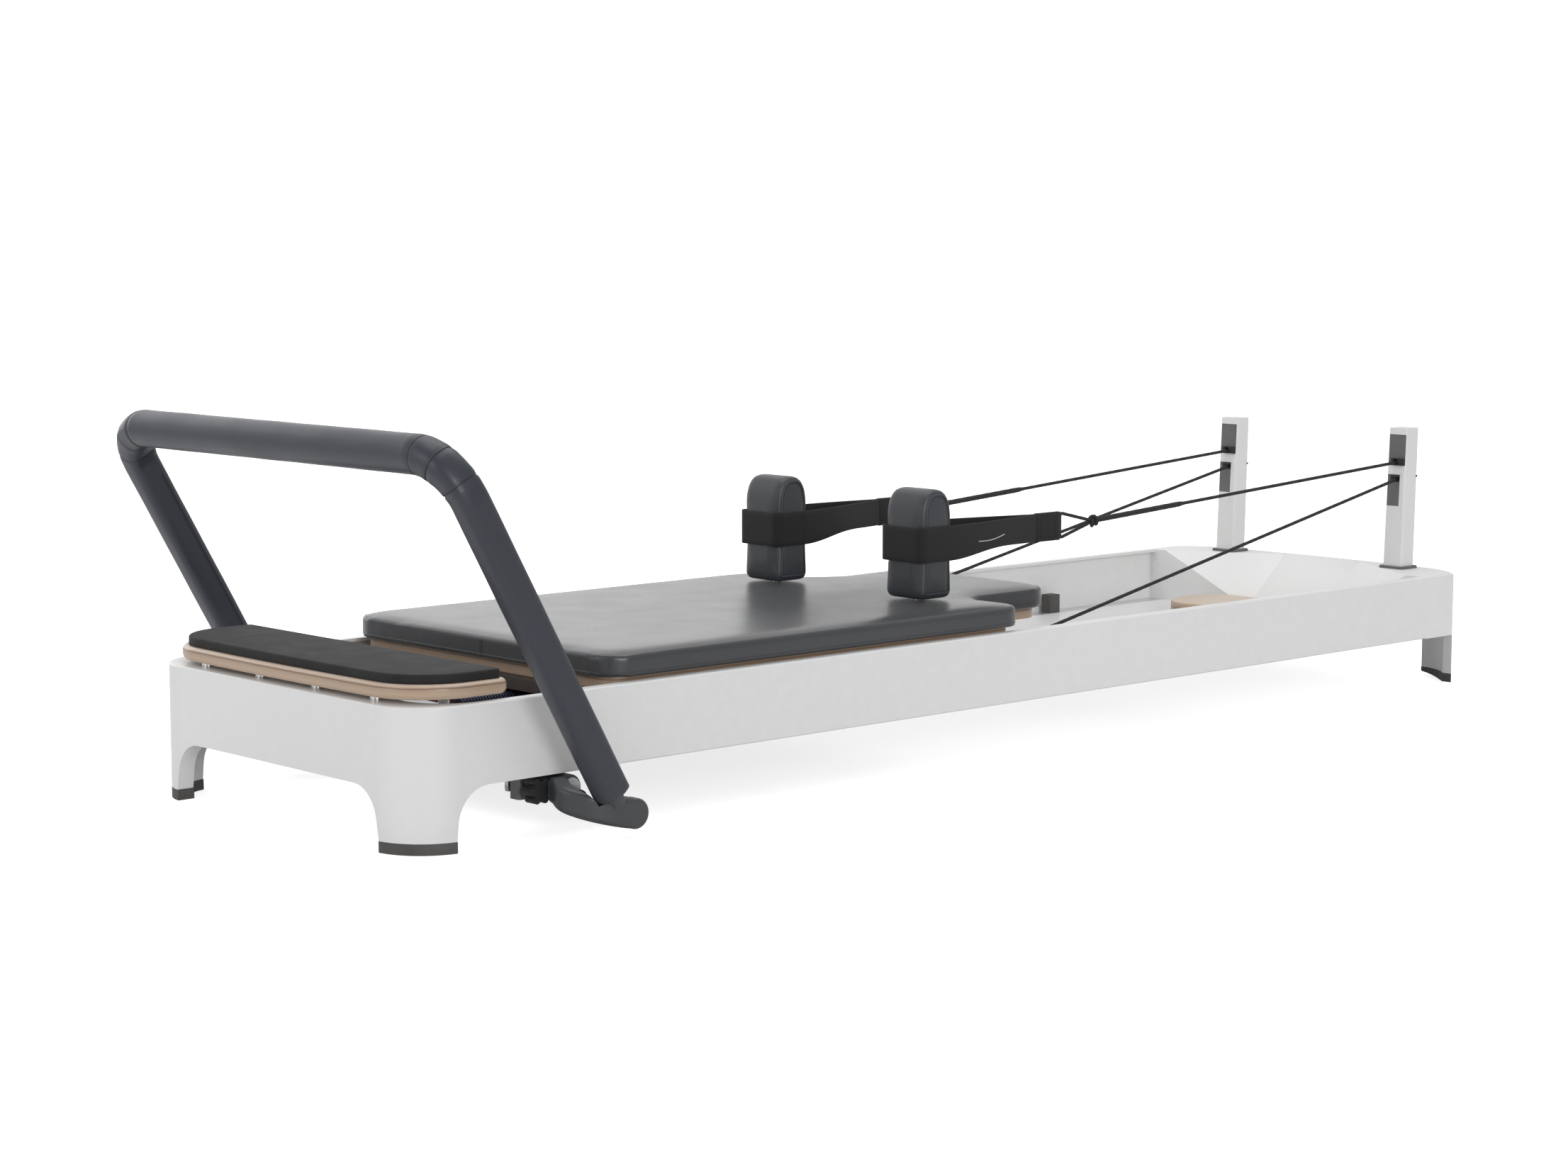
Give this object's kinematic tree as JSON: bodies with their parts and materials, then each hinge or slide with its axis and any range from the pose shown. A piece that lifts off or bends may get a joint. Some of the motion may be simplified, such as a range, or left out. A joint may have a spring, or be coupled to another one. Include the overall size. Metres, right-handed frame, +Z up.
{
  "type": "pilates reformer",
  "caption": "Low pilates reformer with a sliding padded carriage, shoulder rests, tilting padded footbar, looped straps and roped risers.",
  "frame": {"origin": "floor point below the centre of the overall bounding box", "axes": "+X from the foot end towards the head end, +Y to the left side, +Z up"},
  "size_m": [2.4019, 0.86, 0.5649],
  "materials": {
    "white_paint": "satin powder coat",
    "white_moulding": "satin",
    "white_plastic": "satin",
    "track_metal": "satin anodised",
    "brown_panel": "matte dark brown",
    "bare_steel": "brushed",
    "frame_metal": "matte dark",
    "cast_block": "cast, painted",
    "chrome_metal": "polished",
    "foot_rubber": "matte",
    "foam_mat": "closed-cell foam, matte",
    "plywood": "clear satin lacquer",
    "upholstery": "slate grey vinyl, fine grain",
    "bar_cover": "dark slate vinyl, fine grain",
    "graphite_paint": "satin graphite",
    "webbing": "woven black webbing",
    "cord": "braided black cord",
    "black_plastic": "matte",
    "grey_plastic": "matte",
    "wheel_tyre": "smooth polyurethane",
    "spring_red": "red sleeved coil",
    "spring_blue": "blue sleeved coil"
  },
  "bodies": {
    "frame": {"foot_end_frame": "white_paint", "front_foot_pads": "foot_rubber", "head_end_frame": "white_paint", "rear_foot_pads": "foot_rubber", "head_deck": "white_moulding", "left_rail": "white_paint", "right_rail": "white_paint", "rail_tracks": "track_metal", "floor_tray": "white_paint", "spring_tray": "brown_panel", "cross_braces": "bare_steel", "rail_block": "white_plastic", "carriage_stops": "foot_rubber", "platform_board": "plywood", "platform_mat": "foam_mat", "platform_standoffs": "chrome_metal", "spring_bar": "bare_steel", "pivot_blocks": "cast_block", "left_post": "white_paint", "right_post": "white_paint", "post_liners": "grey_plastic", "post_base_plates": "grey_plastic", "rope_guides": "black_plastic", "pulley_axles": "bare_steel"},
    "carriage": {"carriage_pad": "upholstery", "carriage_board": "plywood", "carriage_frame": "frame_metal", "load_wheel_axles": "bare_steel", "guide_wheel_pins": "bare_steel", "rope_cleats": "black_plastic", "rest_sockets": "bare_steel", "springs_firm": "spring_red", "springs_light": "spring_blue", "left_strap": "webbing", "right_strap": "webbing", "left_strap_rope": "cord", "right_strap_rope": "cord", "left_rope": "cord", "right_rope": "cord"},
    "footbar": {"footbar_tube": "bare_steel", "footbar_cover": "bar_cover", "footbar_cranks": "graphite_paint", "footbar_stub_shafts": "bare_steel", "footbar_index_plate": "bare_steel"},
    "lock": {"lock_knob": "black_plastic"},
    "head_board": {"head_board": "plywood"},
    "left_pulley": {"left_pulley": "black_plastic"},
    "right_pulley": {"right_pulley": "black_plastic"},
    "left_rest": {"left_rest_pad": "upholstery", "left_rest_post": "chrome_metal"},
    "right_rest": {"right_rest_pad": "upholstery", "right_rest_post": "chrome_metal"},
    "left_foot_wheel": {"left_foot_wheel": "wheel_tyre"},
    "left_foot_guide_wheel": {"left_foot_guide_wheel": "wheel_tyre"},
    "right_foot_wheel": {"right_foot_wheel": "wheel_tyre"},
    "right_foot_guide_wheel": {"right_foot_guide_wheel": "wheel_tyre"},
    "left_head_wheel": {"left_head_wheel": "wheel_tyre"},
    "left_head_guide_wheel": {"left_head_guide_wheel": "wheel_tyre"},
    "right_head_wheel": {"right_head_wheel": "wheel_tyre"},
    "right_head_guide_wheel": {"right_head_guide_wheel": "wheel_tyre"}
  },
  "joints": [
    {"name": "carriage_slide", "type": "slide", "parent": "frame", "child": "carriage", "axis": [1, 0, 0], "range_m": [0, 0.75], "deforming": ["springs_firm", "springs_light", "left_rope", "right_rope"]},
    {"name": "footbar_tilt", "type": "hinge", "parent": "frame", "child": "footbar", "pos_m": [-0.928, 0, 0.066], "axis": [0, 1, 0], "range_deg": [-60, 0]},
    {"name": "lock_slide", "type": "slide", "parent": "frame", "child": "lock", "axis": [0, 1, 0], "range_m": [0, 0.012]},
    {"name": "head_board_lift", "type": "slide", "parent": "frame", "child": "head_board", "axis": [0, 0, 1], "range_m": [0, 0.05]},
    {"name": "left_foot_wheel_spin", "type": "hinge", "parent": "carriage", "child": "left_foot_wheel", "pos_m": [-0.741, 0.304, 0.1292], "axis": [0, 1, 0], "continuous": true},
    {"name": "left_foot_guide_wheel_spin", "type": "hinge", "parent": "carriage", "child": "left_foot_guide_wheel", "pos_m": [-0.633, 0.3108, 0.17], "axis": [0, 0, 1], "continuous": true},
    {"name": "right_foot_wheel_spin", "type": "hinge", "parent": "carriage", "child": "right_foot_wheel", "pos_m": [-0.741, -0.304, 0.1292], "axis": [0, 1, 0], "continuous": true},
    {"name": "right_foot_guide_wheel_spin", "type": "hinge", "parent": "carriage", "child": "right_foot_guide_wheel", "pos_m": [-0.633, -0.3108, 0.17], "axis": [0, 0, 1], "continuous": true},
    {"name": "left_head_wheel_spin", "type": "hinge", "parent": "carriage", "child": "left_head_wheel", "pos_m": [-0.041, 0.304, 0.1292], "axis": [0, 1, 0], "continuous": true},
    {"name": "left_head_guide_wheel_spin", "type": "hinge", "parent": "carriage", "child": "left_head_guide_wheel", "pos_m": [-0.113, 0.3108, 0.17], "axis": [0, 0, 1], "continuous": true},
    {"name": "right_head_wheel_spin", "type": "hinge", "parent": "carriage", "child": "right_head_wheel", "pos_m": [-0.041, -0.304, 0.1292], "axis": [0, 1, 0], "continuous": true},
    {"name": "right_head_guide_wheel_spin", "type": "hinge", "parent": "carriage", "child": "right_head_guide_wheel", "pos_m": [-0.113, -0.3108, 0.17], "axis": [0, 0, 1], "continuous": true},
    {"name": "left_pulley_spin", "type": "hinge", "parent": "frame", "child": "left_pulley", "pos_m": [1.1542, 0.199, 0.383], "axis": [0, 1, 0], "continuous": true},
    {"name": "left_rest_lift", "type": "slide", "parent": "carriage", "child": "left_rest", "axis": [0, 0, 1], "range_m": [0, 0.11]},
    {"name": "right_pulley_spin", "type": "hinge", "parent": "frame", "child": "right_pulley", "pos_m": [1.1542, -0.199, 0.383], "axis": [0, 1, 0], "continuous": true},
    {"name": "right_rest_lift", "type": "slide", "parent": "carriage", "child": "right_rest", "axis": [0, 0, 1], "range_m": [0, 0.11]}
  ],
  "couplings": [
    {"joint": "left_foot_wheel_spin", "follows": "carriage_slide", "rad_per_m": 40},
    {"joint": "left_foot_guide_wheel_spin", "follows": "carriage_slide", "rad_per_m": 71.429},
    {"joint": "right_foot_wheel_spin", "follows": "carriage_slide", "rad_per_m": 40},
    {"joint": "right_foot_guide_wheel_spin", "follows": "carriage_slide", "rad_per_m": -71.429},
    {"joint": "left_head_wheel_spin", "follows": "carriage_slide", "rad_per_m": 40},
    {"joint": "left_head_guide_wheel_spin", "follows": "carriage_slide", "rad_per_m": 71.429},
    {"joint": "right_head_wheel_spin", "follows": "carriage_slide", "rad_per_m": 40},
    {"joint": "right_head_guide_wheel_spin", "follows": "carriage_slide", "rad_per_m": -71.429}
  ]
}
